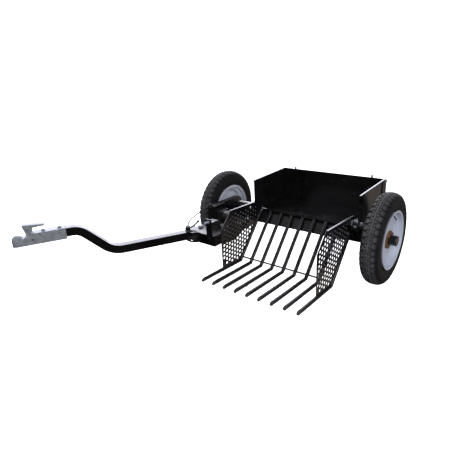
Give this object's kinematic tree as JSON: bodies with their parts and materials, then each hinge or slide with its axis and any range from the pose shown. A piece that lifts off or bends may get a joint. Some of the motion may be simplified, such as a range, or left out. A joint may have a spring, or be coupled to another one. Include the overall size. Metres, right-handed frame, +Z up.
{
  "type": "tow behind cart",
  "caption": "Two-wheeled tow-behind pick-up cart with a lifting fork bucket between perforated plates, a tipping hopper and a swinging drawbar.",
  "frame": {"origin": "centre of the whole cart's footprint box, on the ground", "axes": "+Z up, -Y forward along the cart towards the drawbar, +X the cart's left side"},
  "size_m": [1.6354, 1.663, 0.5711],
  "materials": {
    "frame_paint": "gloss black powder coat with light scuffs",
    "sheet_paint": "smooth gloss black powder coat on sheet",
    "zinc": "bright zinc plating",
    "bearing_cast": "machined and greased",
    "bare_steel": "bare machined steel",
    "rubber": "matt black",
    "tyre": "matt black, dusty tread",
    "rim_paint": "satin silver-grey paint",
    "hub_iron": "brown primer with surface rust",
    "cap_black": "gloss black",
    "motor_black": "satin black"
  },
  "bodies": {
    "frame": {"axle_beam": "frame_paint", "side_rail": "frame_paint", "rear_arms": "frame_paint", "swing_plate_top": "frame_paint", "swing_plate_bottom": "frame_paint", "swing_pin": "zinc", "bearing_brackets": "frame_paint", "pillow_block_right": "bearing_cast", "pillow_block_left": "bearing_cast", "bearing_bolts": "zinc", "hopper_rests": "rubber", "hopper_hinge_pin": "zinc", "spindle_left": "bare_steel", "spindle_right": "bare_steel", "spindle_nuts": "zinc", "drive_case": "frame_paint", "case_cover": "frame_paint", "gear_motor": "motor_black", "roller_chain": "bare_steel", "front_post": "frame_paint", "motor_relay": "motor_black", "power_socket": "zinc", "supply_cable": "rubber", "cable_gland": "rubber", "cable_eye": "rubber"},
    "tongue": {"tongue_tube": "frame_paint", "swing_bush": "bare_steel", "coupler_body": "zinc", "coupler_bolts": "zinc", "clamp_bolt": "zinc", "latch_pin": "zinc"},
    "clamp": {"clamp_handle": "frame_paint"},
    "latch": {"latch_lever": "zinc"},
    "jaw": {"ball_jaw": "bare_steel"},
    "bucket": {"bucket_header": "sheet_paint", "bucket_tines": "frame_paint", "cross_rod": "frame_paint", "side_plate_left": "frame_paint", "side_plate_right": "frame_paint", "pivot_shaft": "bare_steel", "pivot_stub": "zinc", "driven_sprocket": "bare_steel"},
    "drive": {"drive_sprocket": "bare_steel"},
    "left_wheel": {"tyre_left": "tyre", "rim_left": "rim_paint", "hub_left": "hub_iron", "hub_cap_left": "cap_black"},
    "right_wheel": {"tyre_right": "tyre", "rim_right": "rim_paint", "hub_right": "hub_iron", "hub_cap_right": "cap_black"},
    "hopper": {"hopper_floor": "sheet_paint", "hopper_side_left": "sheet_paint", "hopper_side_right": "sheet_paint", "hopper_hinges": "frame_paint", "hopper_posts": "frame_paint", "tailgate_pins": "zinc"},
    "gate": {"tailgate": "sheet_paint"}
  },
  "joints": [
    {"name": "left_wheel_spin", "type": "hinge", "parent": "frame", "child": "left_wheel", "pos_m": [0.74425, 0.53516, 0.265], "axis": [1, 0, 0], "continuous": true},
    {"name": "right_wheel_spin", "type": "hinge", "parent": "frame", "child": "right_wheel", "pos_m": [-0.39075, 0.53516, 0.265], "axis": [1, 0, 0], "continuous": true},
    {"name": "tongue_swing", "type": "hinge", "parent": "frame", "child": "tongue", "pos_m": [-0.26325, 0.11291, 0.20627], "axis": [0, -0.0993, 0.9951], "range_deg": [0, 30]},
    {"name": "clamp_turn", "type": "hinge", "parent": "tongue", "child": "clamp", "pos_m": [-0.30575, 0.03454, 0.25021], "axis": [0, 0.0993, -0.9951], "range_deg": [0, 70]},
    {"name": "latch_lift", "type": "hinge", "parent": "tongue", "child": "latch", "pos_m": [-0.75575, -0.75825, 0.34532], "axis": [0.866, -0.4975, -0.0497], "range_deg": [0, 60]},
    {"name": "jaw_slide", "type": "slide", "parent": "tongue", "child": "jaw", "axis": [0.5, 0.8617, 0.086], "range_m": [0, 0.0063]},
    {"name": "bucket_lift", "type": "hinge", "parent": "frame", "child": "bucket", "pos_m": [0.17675, 0.47547, 0.33944], "axis": [-1, 0, 0], "range_deg": [0, 110]},
    {"name": "drive_spin", "type": "hinge", "parent": "frame", "child": "drive", "pos_m": [-0.26125, 0.26919, 0.29172], "axis": [-1, 0, 0], "range_deg": [0, 138.5]},
    {"name": "hopper_tip", "type": "hinge", "parent": "frame", "child": "hopper", "pos_m": [0.27675, 0.74562, 0.32118], "axis": [-1, 0, 0], "range_deg": [0, 50]},
    {"name": "gate_swing", "type": "hinge", "parent": "hopper", "child": "gate", "pos_m": [0.27675, 0.80009, 0.54068], "axis": [1, 0, 0], "range_deg": [0, 95]}
  ],
  "couplings": [
    {"joint": "drive_spin", "follows": "bucket_lift", "ratio": 1.25},
    {"joint": "jaw_slide", "follows": "latch_lift", "m_per_rad": 0.006}
  ]
}
